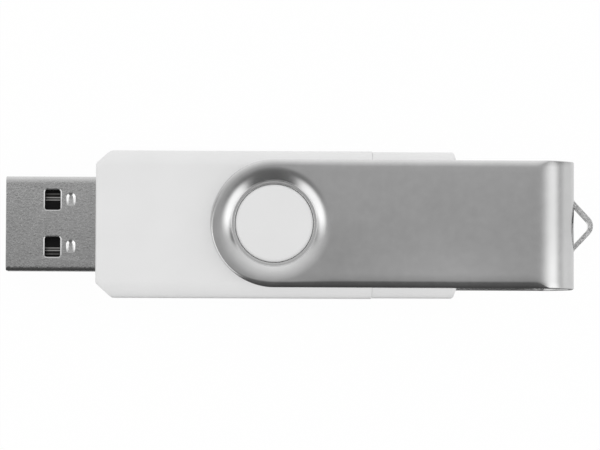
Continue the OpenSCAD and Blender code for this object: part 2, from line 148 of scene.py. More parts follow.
def stitch(bm):
    """Where a border edge passes through other border vertices, split it
    there and weld, so that a coarse and a fine border share their edges."""
    border = [edge for edge in bm.edges if len(edge.link_faces) == 1]
    if not border:
        return
    border_verts = list(dict.fromkeys(v for edge in border for v in edge.verts))
    for edge in border:
        near, far = edge.verts
        start, run = near.co.copy(), far.co - near.co
        hits = []
        for vert in border_verts:
            if vert is near or vert is far:
                continue
            along = (vert.co - start).dot(run) / run.length_squared
            if 1e-3 < along < 1 - 1e-3 and (vert.co - start - run * along).length < 1e-3:
                hits.append((along, vert))
        done = 0.0
        for along, vert in sorted(hits, key=lambda hit: hit[0]):
            if along - done < 1e-4:
                continue
            far = edge.other_vert(near)
            new_edge, new_vert = bmesh.utils.edge_split(
                edge, near, (along - done) / (1 - done))
            new_vert.co = vert.co
            edge = new_edge if far in new_edge.verts else edge
            near, done = new_vert, along
    bmesh.ops.remove_doubles(bm, verts=bm.verts, dist=1e-5)


def smooth(mesh, sharp):
    mesh.polygons.foreach_set("use_smooth", [True] * len(mesh.polygons))
    mesh.set_sharp_from_angle(angle=radians(sharp))
    mesh.update()


def finish_mesh(name, soup, sharp=40.0):
    """Weld a soup into an object in metres, with edges over `sharp` degrees sharp."""
    bm = bmesh.new()
    verts = [bm.verts.new(p) for p in soup.points]
    for face in soup.faces:
        corners = list(dict.fromkeys(face))
        if len(corners) > 2:
            try:
                bm.faces.new([verts[i] for i in corners])
            except ValueError:
                # the triangulation may give the same triangle twice
                pass
    bmesh.ops.remove_doubles(bm, verts=bm.verts, dist=2e-4)
    bmesh.ops.dissolve_degenerate(bm, dist=1e-5, edges=bm.edges)
    stitch(bm)
    loose = [v for v in bm.verts if not v.link_faces]
    bmesh.ops.delete(bm, geom=loose, context="VERTS")
    bmesh.ops.recalc_face_normals(bm, faces=bm.faces)
    bmesh.ops.scale(bm, vec=(MM, MM, MM), verts=bm.verts)
    mesh = bpy.data.meshes.new(name)
    bm.to_mesh(mesh)
    bm.free()
    smooth(mesh, sharp)
    ob = bpy.data.objects.new(name, mesh)
    bpy.context.scene.collection.objects.link(ob)
    return ob


def add_weighted_normals(ob):
    modifier = ob.modifiers.new("weighted", "WEIGHTED_NORMAL")
    modifier.keep_sharp = True
    modifier.weight = 100
    modifier.mode = "FACE_AREA"


def add_bevel(ob, width, angle):
    """Bevel of `width` on edges that turn by more than `angle` degrees."""
    modifier = ob.modifiers.new("bevel", "BEVEL")
    modifier.width = width * MM
    modifier.segments = 2
    modifier.limit_method = "ANGLE"
    modifier.angle_limit = radians(angle)
    modifier.use_clamp_overlap = True
    modifier.harden_normals = False


def combine(ob, name, soup, operation):
    """Apply a boolean with a soup to ob."""
    tool = finish_mesh(name, soup)
    modifier = ob.modifiers.new("bool", "BOOLEAN")
    modifier.operation = operation
    modifier.object = tool
    modifier.solver = "EXACT"
    depsgraph = bpy.context.evaluated_depsgraph_get()
    mesh = bpy.data.meshes.new_from_object(ob.evaluated_get(depsgraph))
    ob.modifiers.clear()
    old = ob.data
    ob.data = mesh
    bpy.data.meshes.remove(old)
    bpy.data.objects.remove(tool)


def box_soup(x_span, y_span, z_span):
    (x0, x1), (y0, y1) = x_span, y_span
    rows = [[(x, y, z) for x, y in ((x0, y0), (x1, y0), (x1, y1), (x0, y1))]
            for z in z_span]
    soup = Soup()
    soup.grid(rows, close_rows=True)
    soup.face(rows[0])
    soup.face(rows[1])
    return soup


def cut_box(ob, x_span, y_span, z_span):
    combine(ob, "cutter", box_soup(x_span, y_span, z_span), "DIFFERENCE")


def add_box(ob, x_span, y_span, z_span):
    combine(ob, "adder", box_soup(x_span, y_span, z_span), "UNION")


# --------------------------------------------------------------------------
# swivel cover: one stamped sheet
# --------------------------------------------------------------------------
CUT_R = 0.12            # rounding of the sheet's cut edges
PLAIN_R = 0.16          # rounding of the edge where it isn't rolled
ARC_ROLL = 0.75         # radius of the rolled edge round the half-round end
EDGE_ROLL = 0.86        # radius of the rolled edge along the straight sides
STRAIGHT_X = 9.0        # from the pivot to where the sheet has one section throughout

# round dish pressed in towards the body, with a flat lip round a hole
CREST_R = 7.35          # where the plate starts to dip
LIP_R = 5.36            # where the flat lip begins to rise
LIP_Z = 4.07 + SHEET    # outside of the lip
FILLET = 0.12           # between lip and slope
HOLE_R = 5.0
HOLE_EDGE = 0.10        # rounding of the hole's edge

# droop of the plates beside their rolled edges
DROOP_BAND = 0.9        # width of the strip where the droop sets in
DROOP_NEAR, DROOP_FAR = 0.034, 0.016    # curvature on the -Y and on the +Y side

# bends from plate to end wall
BEND_R = 5.4            # first bend
BEND_TURN = radians(50)
FLANK = 1.0             # straight piece between the two bends
WALL_Z = COVER_Z - 4.3  # half height of the flat end wall
WALL_LEVELS = [WALL_Z * share for share in (1, 0.33, -0.33, -1)]

# strip pressed out of the end wall: root bends, sloping arms, bend at the tip
EYE_SLOPE = radians(43)
EYE_TIP, EYE_ROOT = 1.25, 0.9           # bend radii at mid-sheet
EYE_BENDS = EYE_TIP + EYE_ROOT
EYE_ARM = (EYE - EYE_BENDS * (1 - cos(EYE_SLOPE))) / tan(EYE_SLOPE)
EYE_HALF = EYE_BENDS * sin(EYE_SLOPE) + EYE_ARM


def inside_roll(roll):
    """Radius inside a rolled edge."""
    return max(roll - SHEET, 0.04)


def arc_roll(angle):
    """Roll radius round the half-round end: tightest in its -X, -Y part."""
    turn = degrees(angle)
    tight = smoothstep((turn - 150.0) / 45.0) * (1 - smoothstep((turn - 225.0) / 40.0))
    return ARC_ROLL - 0.42 * tight


def edge_roll(x):
    """Roll radius beside the dish, x from the pivot."""
    return ARC_ROLL + (EDGE_ROLL - ARC_ROLL) * smoothstep(x / STRAIGHT_X)


def rolled_edge(roll):
    """(y, depth) from the start of the roll round to the inside."""
    start, inside = COVER_Y - roll, inside_roll(roll)
    drop = max(roll, SHEET + inside) + CUT_R + 0.04
    inner_y = COVER_Y - SHEET
    points = [(start + roll * sin(angle), roll - roll * cos(angle))
              for angle in spread(0, QUARTER, 14)]
    points += [(COVER_Y - CUT_R + CUT_R * cos(angle), drop - CUT_R + CUT_R * sin(angle))
               for angle in spread(0, QUARTER, 3)]
    points += [(inner_y + CUT_R - CUT_R * sin(angle), drop - CUT_R + CUT_R * cos(angle))
               for angle in spread(0, QUARTER, 3)]
    points += [(inner_y - inside + inside * sin(angle),
                SHEET + inside - inside * cos(angle)) for angle in spread(QUARTER, 0, 6)]
    return points


def plain_edge():
    """As many points as rolled_edge has, for an edge with no roll."""
    points = [(COVER_Y - PLAIN_R + PLAIN_R * sin(angle), PLAIN_R - PLAIN_R * cos(angle))
              for angle in spread(0, QUARTER, 14)]
    points += [(COVER_Y - CUT_R + CUT_R * cos(angle), SHEET - CUT_R + CUT_R * sin(angle))
               for angle in spread(0, QUARTER, 3)]
    points += [(y, SHEET)
               for y in spread(COVER_Y - CUT_R - 0.03, COVER_Y - EDGE_ROLL, 10)]
    return points


def crown(y):
    """Droop of the plate beside its rolled edge, reached on a soft curve."""
    into = abs(y) - (COVER_Y - EDGE_ROLL - DROOP_BAND)
    if into <= 0:
        return 0.0
    bend = DROOP_NEAR if y < 0 else DROOP_FAR
    if into < DROOP_BAND:
        return bend * into * into
    return bend * (DROOP_BAND ** 2 + 2 * DROOP_BAND * (into - DROOP_BAND))


def about_pivot(radius, angle):
    return PIVOT_X + radius * cos(angle), radius * sin(angle)


def on_sheet(side, x, y, z):
    """Point of the upper (1) or lower (-1) plate, with the droop taken off."""
    return x, y, side * (z - smoothstep((x - PIVOT_X) / STRAIGHT_X) * crown(y))


def y_stations():
    """Stations across the plate, between the rolled edges."""
    flat = COVER_Y - EDGE_ROLL
    half = spread(0.0, EYE_HALF, 9)
    half += spread(EYE_HALF, flat - DROOP_BAND, 6)[1:]
    half += spread(flat - DROOP_BAND, flat, 5)[1:]
    return [-y for y in half[:0:-1]] + half


def dish_profile():
    """(radius, z) from the crest in to the hole on the outside, and back inside."""
    depth, run = COVER_Z - LIP_Z, CREST_R - LIP_R
    slope = 2 * atan(depth / run)               # steepest slope of the dish
    bend = run / sin(slope) - FILLET
    inner_bend, inner_fillet = bend - SHEET, FILLET + SHEET
    hole = HOLE_R + HOLE_EDGE
    points = [(CREST_R - bend * sin(angle), COVER_Z - bend * (1 - cos(angle)))
              for angle in spread(0, slope, 18)]
    points += [(LIP_R + FILLET * sin(angle), LIP_Z + FILLET * (1 - cos(angle)))
               for angle in spread(slope, 0, 7)]
    points += [(hole - HOLE_EDGE * sin(angle), LIP_Z - HOLE_EDGE + HOLE_EDGE * cos(angle))
               for angle in spread(0, QUARTER, 4)]
    points += [(hole - HOLE_EDGE * cos(angle),
                LIP_Z - SHEET + HOLE_EDGE - HOLE_EDGE * sin(angle))
               for angle in spread(0, QUARTER, 4)]
    points += [(LIP_R + inner_fillet * sin(angle),
                LIP_Z + FILLET - inner_fillet * cos(angle))
               for angle in spread(0, slope, 7)]
    points += [(CREST_R - inner_bend * sin(angle), COVER_Z - bend + inner_bend * cos(angle))
               for angle in spread(slope, 0, 10)]
    return points


def add_pivot_ends(cover, across):
    """Both plates round the pivot: dish, flat and rolled edge."""
    dish = dish_profile()
    beside = [STRAIGHT_X * (i / 26.0) for i in range(27)]
    # spokes on the +X half, from -90 to 90 degrees: (angle, end point)
    ends = [(x, -(COVER_Y - edge_roll(x))) for x in beside[:-1]]
    ends += [(STRAIGHT_X, y) for y in across]
    ends += [(x, COVER_Y - edge_roll(x)) for x in beside[-2::-1]]
    spokes = [(atan2(y, x), (x, y)) for x, y in ends]
    half_round = [QUARTER + pi * i / 110 for i in range(1, 110)]
    angles = [angle for angle, _ in spokes] + half_round
    arc = [QUARTER] + half_round + [pi * 1.5]

    # roll stations along +Y, round the -X end and along -Y:
    # (x of the origin, outward direction, roll radius)
    rolls = [(x, (0, 1), edge_roll(x)) for x in beside[::-1]]
    rolls += [(0, (cos(angle), sin(angle)), arc_roll(angle)) for angle in half_round]
    rolls += [(x, (0, -1), edge_roll(x)) for x in beside]

    def outer_radii(angle):
        end = COVER_Y - arc_roll(angle)
        return CREST_R, (CREST_R + end) / 2, end

    def inner_radii(angle):
        return CREST_R, COVER_Y - SHEET - inside_roll(arc_roll(angle))

    for side in (1, -1):
        cover.grid([[on_sheet(side, *about_pivot(radius, angle), z) for radius, z in dish]
                    for angle in angles], close_ends=True)
        for z in (COVER_Z, COVER_Z - SHEET):
            rows = []
            for angle, (end_x, end_y) in spokes:
                x, y = CREST_R * cos(angle), CREST_R * sin(angle)
                rows.append([on_sheet(side, PIVOT_X + x + (end_x - x) * share,
                                      y + (end_y - y) * share, z)
                             for share in (0, 0.08, 0.3, 0.5, 0.7, 0.85, 1)])
            cover.grid(rows)
        for z, radii in ((COVER_Z, outer_radii), (COVER_Z - SHEET, inner_radii)):
            cover.grid([[on_sheet(side, *about_pivot(radius, angle), z)
                         for radius in radii(angle)] for angle in arc])
        cover.grid([[on_sheet(side, PIVOT_X + x + out_x * out, out_y * out,
                              COVER_Z - depth) for out, depth in rolled_edge(roll)]
                    for x, (out_x, out_y), roll in rolls])


def upper_path():
    """(x, z, normal x, normal z) along the outside, from the upper plate to the wall."""
    turn_sin, turn_cos = sin(BEND_TURN), cos(BEND_TURN)
    second = (COVER_Z - WALL_Z - BEND_R * (1 - turn_cos) - FLANK * turn_sin) / turn_cos
    reach = BEND_R * turn_sin + FLANK * turn_cos + second * (1 - turn_sin)
    bend_x = WALL_X - reach
    path = [(x, COVER_Z, 0.0, 1.0) for x in spread(PIVOT_X + STRAIGHT_X, bend_x, 12)]
    path += [(bend_x + BEND_R * sin(angle), COVER_Z - BEND_R * (1 - cos(angle)),
              sin(angle), cos(angle)) for angle in spread(0, BEND_TURN, 20)[1:]]
    x, z = path[-1][:2]
    path.append((x + FLANK / 2 * turn_cos, z - FLANK / 2 * turn_sin, turn_sin, turn_cos))
    path += [(WALL_X - second * (1 - sin(angle)), WALL_Z + second * cos(angle),
              sin(angle), cos(angle)) for angle in spread(BEND_TURN, QUARTER, 16)[:-1]]
    path.append((WALL_X, WALL_Z, 1.0, 0.0))
    return path


def add_wrap(cover, across):
    """The sheet's section swept over the end wall, with a slot for the strip."""
    upper = upper_path()
    top = len(upper) - 1
    bottom = top + len(WALL_LEVELS) - 1
    path = upper + [(WALL_X, z, 1.0, 0.0) for z in WALL_LEVELS[1:-1]]
    path += [(x, -z, normal_x, -normal_z) for x, z, normal_x, normal_z in upper[::-1]]
    rolled, plain = rolled_edge(EDGE_ROLL), plain_edge()

    def section(flat):
        """(y, depth): the edge is rolled at flat = 0 and plain at flat = 1."""
        edge = [(a[0] + (b[0] - a[0]) * flat, a[1] + (b[1] - a[1]) * flat)
                for a, b in zip(rolled, plain)][1:-1]
        points = [(y, 0.0) for y in across] + edge
        points += [(y, SHEET) for y in across[::-1]]
        points += [(-y, depth) for y, depth in edge[::-1]]
        return [(y, depth + crown(y) * (1 - flat)) for y, depth in points]

    rows = []
    for x, z, normal_x, normal_z in path:
        turn = degrees(acos(max(-1.0, min(1.0, abs(normal_z)))))
        rows.append([(x - normal_x * depth, y, z - normal_z * depth)
                     for y, depth in section(smoothstep((turn - 4.0) / 20.0))])
    at_slot = [abs(y) < EYE_HALF + 1e-6 for y, _ in section(0.0)]

    def in_slot(i, j):
        return top <= i < bottom and at_slot[j] and at_slot[(j + 1) % len(at_slot)]

    cover.grid(rows, close_rows=True, skip=in_slot)
    slot_ys = [y for y in across if abs(y) < EYE_HALF + 1e-6]
    for z in (WALL_Z, -WALL_Z):
        cover.grid([[(x, y, z) for y in slot_ys] for x in (WALL_X, WALL_X - SHEET)])


def strip_path(offset):
    """(x, y) along the pressed-out strip, offset outwards from mid-sheet."""
    middle = WALL_X - SHEET / 2
    root, tip = EYE_ROOT - offset, EYE_TIP + offset

    def root_bend(side, angles):
        return [(middle + EYE_ROOT + root * sin(angle), side * EYE_HALF + root * cos(angle))
                for angle in angles]

    points = root_bend(-1, spread(-QUARTER, EYE_SLOPE - QUARTER, 8))
    # the tip is drawn past its tangent points, to 43 degrees either side of +Y and -Y
    points += [(middle + EYE - EYE_TIP + tip * sin(angle), tip * cos(angle))
               for angle in spread(QUARTER + EYE_SLOPE, QUARTER - EYE_SLOPE, 20)]
    points += root_bend(1, spread(-QUARTER - EYE_SLOPE, -QUARTER, 8))
    return points


def add_strip(cover):
    outside, inside = strip_path(SHEET / 2), strip_path(-SHEET / 2)
    for points in (outside, inside):
        cover.grid([[(x, y, z) for z in WALL_LEVELS] for x, y in points])
    for z in (WALL_Z, -WALL_Z):
        cover.grid([[(x, y, z) for x, y in points] for points in (outside, inside)])


def build_cover():
    cover = Soup()
    across = y_stations()
    add_pivot_ends(cover, across)
    add_wrap(cover, across)
    add_strip(cover)
    ob = finish_mesh("cover_sheet", cover, sharp=35)
    add_bevel(ob, width=0.07, angle=60)
    add_weighted_normals(ob)
    return ob


# --------------------------------------------------------------------------
# moulded shells: stacks of rounded outlines
# --------------------------------------------------------------------------
SHELL_Z = 0.04          # each shell starts this far from the mid-plane
SEAM = 0.10             # rounding where the two shells meet
SIDE_R = 2.0            # rounding of the long edges of body and cap
NECK_R = 1.6            # rounding of the neck's long edges
CAVITY_Y = BODY_Y - 1.3
CAVITY_Z = BODY_Z - 1.0
CLEARANCE = 0.05        # round each plug, and between neck and cap


def rounded_outline(sides, insets, radii):
    """sides: (point, outward normal), counter-clockwise; each is moved in by its
    inset. radii[i] rounds the corner between side i and the next one."""
    moved = [((p[0] - q[0] * inset, p[1] - q[1] * inset), q)
             for (p, q), inset in zip(sides, insets)]
    points = []
    for (p1, n1), (p2, n2), radius in zip(moved, moved[1:] + moved[:1], radii):
        det = n1[0] * n2[1] - n1[1] * n2[0]
        off1 = n1[0] * p1[0] + n1[1] * p1[1]
        off2 = n2[0] * p2[0] + n2[1] * p2[1]
        x = (off1 * n2[1] - off2 * n1[1]) / det
        y = (n1[0] * off2 - n2[0] * off1) / det
        middle = (n1[0] + n2[0], n1[1] + n2[1])
        length = hypot(*middle)
        half_cos = length / 2                   # cosine of half the turn
        centre_x = x - middle[0] / length * radius / half_cos
        centre_y = y - middle[1] / length * radius / half_cos
        start, end = atan2(n1[1], n1[0]), atan2(n2[1], n2[0])
        while end < start:
            end += 2 * pi
        points += [(centre_x + radius * cos(angle), centre_y + radius * sin(angle))
                   for angle in spread(start, end, 6)]
    return points


def stacked(sides, radii, levels, insets_at):
    """Closed solid from outlines at each level; insets_at(z) gives the insets."""
    rows = [[(x, y, z) for x, y in rounded_outline(sides, insets_at(z), radii)]
            for z in levels]
    soup = Soup()
    soup.grid(rows, close_rows=True)
    soup.face(rows[0])
    soup.face(rows[-1])
    return soup


def round_inset(z, top, radius):
    """Inset at height z of an edge rounded below (and above -) top."""
    into = abs(z) - (top - radius)
    if into <= 0:
        return 0.0
    into = min(into, radius)
    return radius - sqrt(max(0.0, radius * radius - into * into))


def seam_inset(z):
    """Small rounding where the two shells meet."""
    into = SEAM - (z - SHELL_Z)
    if into <= 0:
        return 0.0
    return SEAM - sqrt(max(0.0, SEAM ** 2 - into ** 2))


def level_set(bottom, top, radii, seam):
    """Heights from bottom to top, dense where an edge is rounded."""
    levels = {round(bottom, 5), round(bottom + seam * 0.3, 5), round(bottom + seam, 5),
              round((bottom + top - max(radii)) / 2, 5)}
    for radius in radii:
        steps = max(4, int(6 * sqrt(radius) + 4))
        for angle in spread(0, QUARTER, steps):
            levels.add(round(top - radius + radius * sin(angle), 5))
    return sorted(z for z in levels if z >= bottom - 1e-6)


def mirrored_levels(top, radii):
    """Heights from -top to top."""
    upper = level_set(0.0, top, radii, seam=0.2)
    return sorted(set([-z for z in upper] + upper))


def rectangle_sides(x0, x1, half_width):
    return [((x0, 0), (-1, 0)), ((0, -half_width), (0, -1)),
            ((x1, 0), (1, 0)), ((0, half_width), (0, 1))]


def body_solid():
    """Half of the body, with chamfered corners at the -X end."""
    run_x, run_y = 1.9, 1.7                     # chamfer
    length = hypot(run_x, run_y)
    normal_x, normal_y = run_y / length, run_x / length
    front_r, chamfer_r, rear_r = 0.5, 0.9, 0.06     # rounding up to the flat face
    sides = [((FRONT_X, 0), (-1, 0)),
             ((FRONT_X, -BODY_Y + run_y), (-normal_x, -normal_y)),
             ((FRONT_X, -BODY_Y), (0, -1)),
             ((SEAM_X + 0.022, 0), (1, 0)),
             ((FRONT_X, BODY_Y), (0, 1)),
             ((FRONT_X, BODY_Y - run_y), (-normal_x, normal_y))]

    def insets(z):
        seam = seam_inset(z)
        side = round_inset(z, BODY_Z, SIDE_R) + seam
        chamfer = round_inset(z, BODY_Z, chamfer_r) + seam
        return [round_inset(z, BODY_Z, front_r) + seam, chamfer, side,
                round_inset(z, BODY_Z, rear_r), side, chamfer]

    levels = level_set(SHELL_Z, BODY_Z, [SIDE_R, chamfer_r, front_r, rear_r], SEAM)
    return stacked(sides, [0.35, 0.35, 0.12, 0.12, 0.35, 0.35], levels, insets)


def neck_solid():
    """Half of the narrower neck that the rear cap slides over."""
    end_r = 0.3

    def insets(z):
        side = round_inset(z, NECK_Z, NECK_R) + seam_inset(z)
        return [0, side, round_inset(z, NECK_Z, end_r) + seam_inset(z), side]

    return stacked(rectangle_sides(SEAM_X - 0.6, NECK_X, NECK_Y), [0.05, 0.4, 0.4, 0.05],
                   level_set(SHELL_Z, NECK_Z, [NECK_R, end_r], SEAM), insets)


def boss_solid():
    """Round pivot boss with a soft rim and a flat face."""
    rim = 0.42
    profile = [(0.0, BODY_Z - 0.5), (BOSS_R, BODY_Z - 0.5), (BOSS_R, BODY_Z + 0.2)]
    profile += [(BOSS_R - rim + rim * cos(angle), BOSS_Z - rim + rim * sin(angle))
                for angle in spread(0, QUARTER, 8)]
    profile += [(BOSS_R - rim - 0.15, BOSS_Z), (0.0, BOSS_Z)]
    soup = Soup()
    soup.grid([[(*about_pivot(radius, 2 * pi * i / 120), z) for radius, z in profile]
               for i in range(120)], close_ends=True)
    return soup


def hollow_shell(ob):
    """Openings for the two plugs and the cavities between them."""
    plug_y, plug_z = PLUG_HIGH[1] + CLEARANCE, PLUG_HIGH[2] + CLEARANCE
    cut_box(ob, (FRONT_X - 1, FRONT_X + 3), around(0, plug_y), around(0, plug_z))
    cut_box(ob, (FRONT_X + 1.4, SEAM_X - 1.2), around(0, CAVITY_Y), around(0, CAVITY_Z))
    cut_box(ob, (SEAM_X - 2, NECK_X - 1.1), (-5.5, 5.5), (-1.6, 1.6))
    cut_box(ob, (SEAM_X - 2, NECK_X + 1), around(0, MICRO_HIGH[1] + CLEARANCE),
            (-0.95, 0.95))


def add_posts_and_ribs(ob, side):
    """Posts on the side walls, with sockets above and pegs below; ribs along X."""
    peg_y = CAVITY_Y - 0.55
    roof = CAVITY_Z + 0.2
    for x in (FRONT_X + 3.2, FRONT_X + 17.55, SEAM_X - 2.4):
        for hand in (-1, 1):
            post = sorted((hand * (peg_y - 0.55), hand * (CAVITY_Y + 0.1)))
            add_box(ob, around(x, 0.9), post, (0.05, roof))
            if side > 0:
                cut_box(ob, around(x, 0.55), around(hand * peg_y, 0.4), (-1, 1.3))
            else:
                add_box(ob, around(x, 0.5), around(hand * peg_y, 0.35), (-1.2, 0.6))
    for hand in (-1, 1):
        add_box(ob, (FRONT_X + 8, SEAM_X - 6), around(hand * 6.75, 0.2),
                (0.45 if side > 0 else 0.4, roof))


def build_shell(name, side):
    """Upper (1) or lower (-1) shell; the lower is built upside down, then mirrored."""
    ob = finish_mesh(name, body_solid())
    combine(ob, "neck", neck_solid(), "UNION")
    combine(ob, "boss", boss_solid(), "UNION")
    hollow_shell(ob)
    add_posts_and_ribs(ob, side)
    if side < 0:
        for vert in ob.data.vertices:
            vert.co.z = -vert.co.z
        ob.data.flip_normals()
    smooth(ob.data, 32)
    add_weighted_normals(ob)
    return ob


def cap_solid():
    """Rear cap, its +X end drawn out to a shallow taper at each corner."""
    half_width, top, start = CAP_HIGH[1], CAP_HIGH[2], CAP_LOW[0]
    run_x, run_y = 0.6, 1.9                     # taper
    length = hypot(run_x, run_y)
    normal_x, normal_y = run_y / length, run_x / length
    end_r, mouth_r = 1.0, 0.05                  # rounding at +X and at -X
    sides = [((start, 0), (-1, 0)), ((0, -half_width), (0, -1)),
             ((CAP_X - run_x, -half_width), (normal_x, -normal_y)), ((CAP_X, 0), (1, 0)),
             ((CAP_X - run_x, half_width), (normal_x, normal_y)),
             ((0, half_width), (0, 1))]

    def insets(z):
        side = round_inset(z, top, SIDE_R)
        end = round_inset(z, top, end_r)
        taper = 0.8 * end + 0.2 * side
        return [round_inset(z, top, mouth_r), side, taper, end, taper, side]

    return stacked(sides, [0.1, 0.35, 0.8, 0.8, 0.35, 0.1],
                   mirrored_levels(top, [SIDE_R, end_r, mouth_r]), insets)


def cap_socket():
    """Hollow of the rear cap, a little larger than the neck."""
    half_width, top = NECK_Y + CLEARANCE, NECK_Z + CLEARANCE

    def insets(z):
        side = round_inset(z, top, NECK_R)
        return [0, side, 0, side]

    return stacked(rectangle_sides(CAP_LOW[0] - 2, CAP_X - 1.4, half_width),
                   [0.05, 0.3, 0.3, 0.05], mirrored_levels(top, [NECK_R]), insets)


def build_cap():
    ob = finish_mesh("cap_moulding", cap_solid())
    combine(ob, "socket", cap_socket(), "DIFFERENCE")
    smooth(ob.data, 32)
    add_weighted_normals(ob)
    return ob


# --------------------------------------------------------------------------
# USB-A plug shell: rolled sheet with windows and pressed dimples
# --------------------------------------------------------------------------
PLUG_Y, PLUG_Z = PLUG_HIGH[1], PLUG_HIGH[2]
PLUG_WALL = 0.3
PLUG_END = FRONT_X + 5.2
PLUG_CORNER = {1: 0.88, -1: 0.56}       # corner radii on +Y and on -Y
FLAT_FAR = PLUG_Y - PLUG_CORNER[1]      # where the wide faces end on +Y
FLAT_NEAR = PLUG_Y - PLUG_CORNER[-1]    # and on -Y
MOUTH_R = 0.07                          # rounding of the mouth's edges
CORNER_STEPS = 10

WINDOW_X, WINDOW_Y = 5.95, 3.0          # centres, on either side of y = 0
WINDOW_SIZE = (1.95, 2.5)
WINDOW_R = 0.25
# the window's drawn-in rim: (margin round the window, depth below the face)
WINDOW_RIM = [(0.20, 0.0), (0.165, 0.009), (0.125, 0.028), (0.085, 0.050),
              (0.05, 0.074), (0.025, 0.100), (0.008, 0.130), (0.0, 0.17)]

DIMPLE_X = 8.28
DIMPLE_SIZE = (1.7, 2.4)                # patch round each dimple
DIMPLE_STEPS = 34


def window_outline(y_centre, margin, z):
    """The window's rounded outline, widened by margin."""
    half_x, half_y = ((size + 2 * margin) / 2 for size in WINDOW_SIZE)
    radius = WINDOW_R + margin
    points = []
    for hand_x, hand_y, start in ((1, -1, -90), (1, 1, 0), (-1, 1, 90), (-1, -1, 180)):
        for i in range(7):
            angle = radians(start + 90 * i / 6)
            points.append((WINDOW_X + hand_x * (half_x - radius) + radius * cos(angle),
                           y_centre + hand_y * (half_y - radius) + radius * sin(angle), z))
    return points


def plug_ring(x, inset):
    """The plug's section at x, moved in by inset."""
    points = []
    for hand_y, hand_z, start in ((1, 1, 90), (1, -1, 0), (-1, -1, -90), (-1, 1, 180)):
        corner = PLUG_CORNER[hand_y]
        radius = corner - inset
        for i in range(CORNER_STEPS + 1):
            angle = radians(start - 90 * i / CORNER_STEPS)
            points.append((x, hand_y * (PLUG_Y - corner) + radius * cos(angle),
                           hand_z * (PLUG_Z - corner) + radius * sin(angle)))
    return points


def dimple_depth(across_x, across_y):
    """Depth at -1..1 over the patch: a tongue-like dent with a steep round
    end on +Y, running out towards -Y."""
    x = across_x * DIMPLE_SIZE[0] / 2
    y = across_y * DIMPLE_SIZE[1] / 2
    round_y = 0.34                              # centre of the round end
    distance = hypot(x, y - round_y) if y > round_y else abs(x)
    depth = 1 - smoothstep((distance - 0.20) / 0.42)
    if y < round_y:
        depth *= max(0.0, 1 - ((round_y - y) / 1.12) ** 1.9)
    depth *= 0.21
    fade = min(1.0, (1 - abs(across_x)) * 8, (1 - abs(across_y)) * 8)
    return depth * max(0.0, fade)


def add_dimple(plug, y_centre, z):
    """Add the dented patch; returns its border."""
    width, height = DIMPLE_SIZE
    x0, x1 = around(DIMPLE_X, width / 2)
    y0, y1 = around(y_centre, height / 2)
    steps = DIMPLE_STEPS
    plug.grid([[(x0 + width * i / steps, y0 + height * j / steps,
                 z - dimple_depth(2 * i / steps - 1, 2 * j / steps - 1))
                for j in range(steps + 1)] for i in range(steps + 1)])
    border = [(x0 + width * i / steps, y0, z) for i in range(steps)]
    border += [(x1, y0 + height * i / steps, z) for i in range(steps)]
    border += [(x1 - width * i / steps, y1, z) for i in range(steps)]
    border += [(x0, y1 - height * i / steps, z) for i in range(steps)]
    return border


def add_wide_face(plug, side):
    """Upper (1) or lower (-1) wide wall; only the upper one has dimples."""
    outer_z, inner_z = side * PLUG_Z, side * (PLUG_Z - PLUG_WALL)
    window_ys = (WINDOW_Y, -WINDOW_Y)

    def face_border(z):
        return [(MOUTH_R, -FLAT_NEAR, z), (PLUG_END, -FLAT_NEAR, z),
                (PLUG_END, FLAT_FAR, z), (MOUTH_R, FLAT_FAR, z)]

    loops = [face_border(outer_z)]
    loops += [window_outline(y, WINDOW_RIM[0][0], outer_z) for y in window_ys]
    if side > 0:
        loops += [add_dimple(plug, y, outer_z) for y in window_ys]
    plug.plane(loops)
    plug.plane([face_border(inner_z)]
               + [window_outline(y, 0.0, inner_z) for y in window_ys])
    for y in window_ys:
        rows = [window_outline(y, margin, outer_z - side * depth)
                for margin, depth in WINDOW_RIM]
        rows.append(window_outline(y, 0.0, inner_z))
        plug.grid(rows, close_rows=True)


def build_plug():
    plug = Soup()
    corner_points = CORNER_STEPS + 1

    def is_wide_face(_, j):
        return j in (4 * corner_points - 1, 2 * corner_points - 1)

    for inset in (0.0, PLUG_WALL):
        plug.grid([plug_ring(x, inset) for x in (MOUTH_R, PLUG_END)],
                  close_rows=True, skip=is_wide_face)
    # rounded rim of the mouth: (x, inset)
    mouth = [(MOUTH_R - MOUTH_R * sin(angle), MOUTH_R - MOUTH_R * cos(angle))
             for angle in spread(0, QUARTER, 3)]
    mouth += [(MOUTH_R - MOUTH_R * cos(angle), PLUG_WALL - MOUTH_R + MOUTH_R * sin(angle))
              for angle in spread(0, QUARTER, 3)]
    plug.grid([plug_ring(x, inset) for x, inset in mouth], close_rows=True)
    plug.grid([plug_ring(PLUG_END, inset) for inset in (0.0, PLUG_WALL)], close_rows=True)
    for side in (1, -1):
        add_wide_face(plug, side)
    ob = finish_mesh("plug_a_sheet", plug, sharp=35)
    # a tab at the +X end of each narrow wall
    for hand in (-1, 1):
        add_box(ob, (PLUG_END - 0.5, PLUG_END + 2),
                around(hand * (PLUG_Y - PLUG_WALL / 2), PLUG_WALL / 2 - 0.004),
                (-0.9, 0.9))
    smooth(ob.data, 35)
    add_weighted_normals(ob)
    return ob


